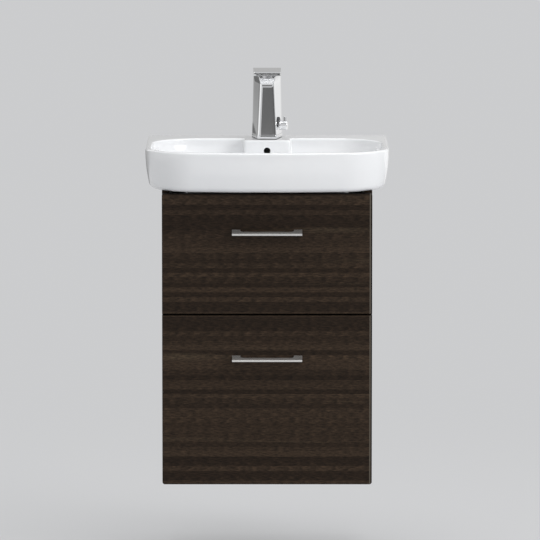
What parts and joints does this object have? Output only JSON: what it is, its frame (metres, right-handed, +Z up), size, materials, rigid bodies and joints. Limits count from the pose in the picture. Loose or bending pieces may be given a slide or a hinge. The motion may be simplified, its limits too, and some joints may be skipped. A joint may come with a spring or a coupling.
{
  "type": "vanity unit with basin",
  "caption": "Compact wall-hung vanity unit: bowed white ceramic basin with a square chrome touch-free tap over a dark wood cabinet with drawers and slim bar handles.",
  "frame": {"origin": "on the wall plane, midway between the two wall bolt holes of the cabinet's hanging rail", "axes": "+X to the viewer's right, +Y into the wall, +Z up"},
  "size_m": [0.5, 0.43, 0.832],
  "materials": {
    "basin_ceramic": "gloss white glaze",
    "tap_chrome": "polished",
    "aerator_metal": "satin",
    "sensor_window": "gloss",
    "seal_rubber": "matte",
    "fitting_brass": "machined",
    "washer_plastic": "matte",
    "cartridge_plastic": "matte",
    "waste_chrome": "polished",
    "trap_plastic": "satin white",
    "front_veneer": "dark stained oak, level grain",
    "side_veneer": "dark stained oak, level grain",
    "carcass_board": "dark melamine",
    "dowel_beech": "plain",
    "drawer_board": "grey melamine",
    "handle_metal": "satin",
    "screw_zinc": "zinc plated",
    "runner_steel": "zinc plated",
    "buffer_plastic": "matte"
  },
  "bodies": {
    "unit": {"basin": "basin_ceramic", "bottom_panel": "carcass_board", "carcass_dowels": "dowel_beech", "front_rail": "carcass_board", "hanging_rail": "carcass_board", "lower_back_rail": "carcass_board", "lower_runners_fixed": "runner_steel", "middle_rail": "carcass_board", "side_left": "side_veneer", "side_right": "side_veneer", "tap_aerator": "aerator_metal", "tap_body": "tap_chrome", "tap_cartridge": "cartridge_plastic", "tap_gasket": "seal_rubber", "tap_inlets": "fitting_brass", "tap_lid": "tap_chrome", "tap_nut": "fitting_brass", "tap_sensor_window": "sensor_window", "tap_shank": "fitting_brass", "tap_washer": "washer_plastic", "temp_seal": "seal_rubber", "trap_bottle": "trap_plastic", "trap_bottle_nut": "trap_plastic", "trap_cup": "trap_plastic", "trap_elbow": "trap_plastic", "trap_elbow_nut": "trap_plastic", "trap_outlet_nut": "trap_plastic", "trap_outlet_pipe": "trap_plastic", "trap_pipe": "trap_plastic", "trap_union_nut": "trap_plastic", "upper_runners_fixed": "runner_steel", "wall_rosette": "waste_chrome", "waste_body": "waste_chrome", "waste_gasket": "seal_rubber", "waste_nut": "fitting_brass"},
    "upper_drawer": {"upper_front": "front_veneer", "upper_box_left": "drawer_board", "upper_box_right": "drawer_board", "upper_box_back": "drawer_board", "upper_box_bottom": "drawer_board", "upper_handle": "handle_metal", "upper_handle_screws": "screw_zinc", "upper_buffers": "buffer_plastic", "upper_runners_inner": "runner_steel"},
    "upper_runner": {"upper_runners_middle": "runner_steel"},
    "lower_drawer": {"lower_front": "front_veneer", "lower_box_left": "drawer_board", "lower_box_right": "drawer_board", "lower_box_back": "drawer_board", "lower_box_bottom": "drawer_board", "lower_handle": "handle_metal", "lower_handle_screws": "screw_zinc", "lower_buffers": "buffer_plastic", "lower_runners_inner": "runner_steel"},
    "lower_runner": {"lower_runners_middle": "runner_steel"},
    "temperature_control": {"temp_grip": "tap_chrome", "temp_pin": "tap_chrome", "temp_spindle": "fitting_brass"},
    "waste_plug": {"plug": "waste_chrome", "plug_seal": "seal_rubber"}
  },
  "joints": [
    {"name": "upper_drawer_slide", "type": "slide", "parent": "unit", "child": "upper_drawer", "axis": [0, -1, 0], "range_m": [0, 0.24]},
    {"name": "upper_runner_slide", "type": "slide", "parent": "unit", "child": "upper_runner", "axis": [0, -1, 0], "range_m": [0, 0.12]},
    {"name": "lower_drawer_slide", "type": "slide", "parent": "unit", "child": "lower_drawer", "axis": [0, -1, 0], "range_m": [0, 0.24]},
    {"name": "lower_runner_slide", "type": "slide", "parent": "unit", "child": "lower_runner", "axis": [0, -1, 0], "range_m": [0, 0.12]},
    {"name": "temperature_turn", "type": "hinge", "parent": "unit", "child": "temperature_control", "pos_m": [0.02358, -0.064, 0.159], "axis": [0.9759, -0.2182, 0], "range_deg": [-35, 35]},
    {"name": "plug_lift", "type": "slide", "parent": "unit", "child": "waste_plug", "axis": [0, 0, 1], "range_m": [0, 0.008]}
  ],
  "couplings": [
    {"joint": "upper_runner_slide", "follows": "upper_drawer_slide", "ratio": 0.5},
    {"joint": "lower_runner_slide", "follows": "lower_drawer_slide", "ratio": 0.5}
  ]
}
